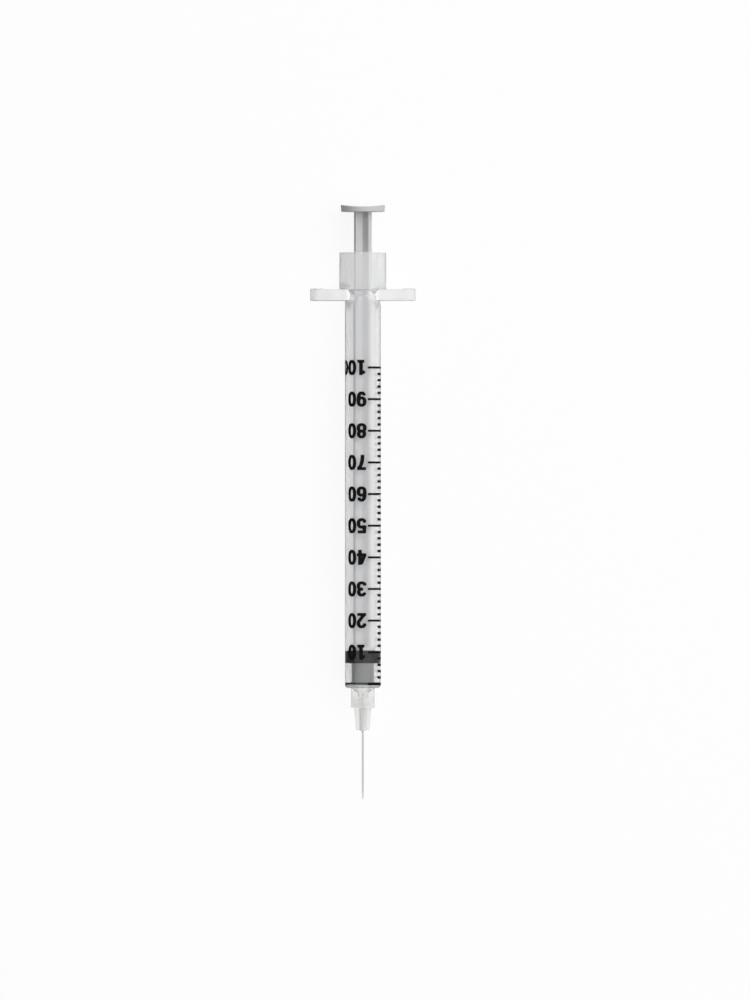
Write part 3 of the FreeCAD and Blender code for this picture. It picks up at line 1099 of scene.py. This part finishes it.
def lookThrough(finish):
    # Whether a ray comes from the camera, whether it was last mirrored, and how far a ray that was
    # mirrored or passed clear plastic still counts as a look: less once it has lit a dull surface.
    camera = finish.add("ShaderNodeLightPath", out="Is Camera Ray")
    glossy = finish.add("ShaderNodeLightPath", out="Is Glossy Ray")
    through = finish.add("ShaderNodeLightPath", out="Is Transmission Ray")
    spread = finish.add("ShaderNodeLightPath", out="Diffuse Depth")
    lessClamped = {"operation": "SUBTRACT", "use_clamp": True}
    mirrored = finish.add("ShaderNodeMath", lessClamped, {0: glossy, 1: through})
    either = finish.add("ShaderNodeMath", {"operation": "MAXIMUM"}, {0: glossy, 1: through})
    lost = spread * (1 - stageValues["inside"])
    seen = finish.add("ShaderNodeMath", lessClamped, {0: either, 1: lost})
    return camera, mirrored, seen


def makeFloor():
    # White floor. The camera sees a share of glow in it, so that it is white with a soft shadow.
    # Clear plastic sees a glow that falls off away from the barrel, as over a small light table,
    # and mirrors a darker floor, the most at its left.
    v = stageValues
    half = v["floorSize"] / 2
    finish = Finish("paleFloor")
    white = v["floorWhite"]
    lit = finish.add("ShaderNodeBsdfDiffuse", {}, {"Color": (white, white, white, 1)})
    glow = finish.add("ShaderNodeEmission", {}, {"Color": (1, 1, 1, 1), "Strength": 1.0})
    camera, mirrored, seen = lookThrough(finish)
    spot = finish.add("ShaderNodeTexCoord", out="Object")
    across = finish.add("ShaderNodeSeparateXYZ", {}, {0: spot}, out="X")
    away = finish.add("ShaderNodeMath", {"operation": "ABSOLUTE"}, {0: across})
    fadeStops = [(0.15, (1, 1, 1, 1)), (1.0, (0, 0, 0, 1))]
    fade = finish.ramp(away * (1 / v["glowReach"]), *fadeStops)
    share = v["floorGlow"] * camera + seen * fade
    surface = finish.mixed(share, lit, glow)
    black = finish.add("ShaderNodeBsdfDiffuse", {}, {"Color": (0, 0, 0, 1)})
    side = finish.rise(across, -v["glowReach"], v["glowReach"])
    dark = mirrored * (v["mirrorLeft"] + (v["mirrorRight"] - v["mirrorLeft"]) * side)
    material = finish.output(finish.mixed(dark, surface, black))
    corners = np.array([[-half, -half, 0], [half, -half, 0], [half, half, 0], [-half, half, 0]])
    floor = finishMesh("floor", corners, np.array([[0, 1, 2, 3]]), [material])


def makeRoom():
    # The room: plain white to the camera, and a soft light that leans to the right for the object.
    # Clear plastic and steel see a wide bright panel overhead that ends at the left.
    v = stageValues
    world = bpy.data.worlds.new("studio")
    bpy.context.scene.world = world
    world.use_nodes = True
    finish = Finish("studio", world.node_tree)
    direction = finish.add("ShaderNodeTexCoord", out="Generated")
    x = finish.add("ShaderNodeSeparateXYZ", {}, {0: direction}, out="X")
    half = x * 0.5 + 0.5
    left = v["flagLeft"]
    right = v["flagRight"]
    panelStops = [
        (0.06, (left, left, left, 1)),
        (0.13, (1, 1, 1, 1)),
        (0.85, (1, 1, 1, 1)),
        (1.0, (right, right, right, 1)),
    ]
    shown = finish.ramp(half, *panelStops)
    camera, mirrored, seen = lookThrough(finish)
    light = (v["ambient"] + v["ambientLean"] * x) * (1 - seen) + shown * seen
    strength = camera + light * (1 - camera)
    background = finish.add("ShaderNodeBackground", {}, {"Color": (1, 1, 1, 1), "Strength": strength})
    finish.output(background, "ShaderNodeOutputWorld")


def makeLamp(name, spot, size, energy):
    # A soft disk that faces the middle of the floor.
    lamp = bpy.data.lights.new(name, "AREA")
    lamp.shape = "DISK"
    lamp.size = size
    lamp.energy = energy
    holder = bpy.data.objects.new(name, lamp)
    bpy.context.scene.collection.objects.link(holder)
    holder.location = spot
    toward = -np.array(spot)
    length = np.linalg.norm(toward)
    tilt = math.acos(-toward[2] / length)
    turn = math.atan2(spot[1], spot[0]) + math.pi / 2
    holder.rotation_euler = (tilt, 0, turn)
    # Gloss and clear plastic show the room's broad panel and not the lamp's hot disk.
    holder.visible_glossy = False
    holder.visible_transmission = False


def makeCamera():
    # Straight down from far away, with a long lens, so that the picture is nearly parallel.
    v = stageValues
    camera = bpy.data.cameras.new("camera")
    camera.sensor_width = v["sensor"]
    camera.lens = v["sensor"] * v["cameraHeight"] / v["frameLong"]
    holder = bpy.data.objects.new("camera", camera)
    bpy.context.scene.collection.objects.link(holder)
    holder.location = (v["aim"][0], v["aim"][1], axisZ + v["cameraHeight"])
    bpy.context.scene.camera = holder


makeFloor()
makeRoom()
makeLamp("key", stageValues["keyFrom"], stageValues["keySize"], stageValues["keyEnergy"])
makeCamera()
bpy.context.scene.view_settings.view_transform = "Standard"
print("stage made")

for piece in (barrel, stopper, rod, hub, needle, glue, lines, numerals):
    piece.data.calc_loop_triangles()
    print(piece.name, "triangles:", len(piece.data.loop_triangles))
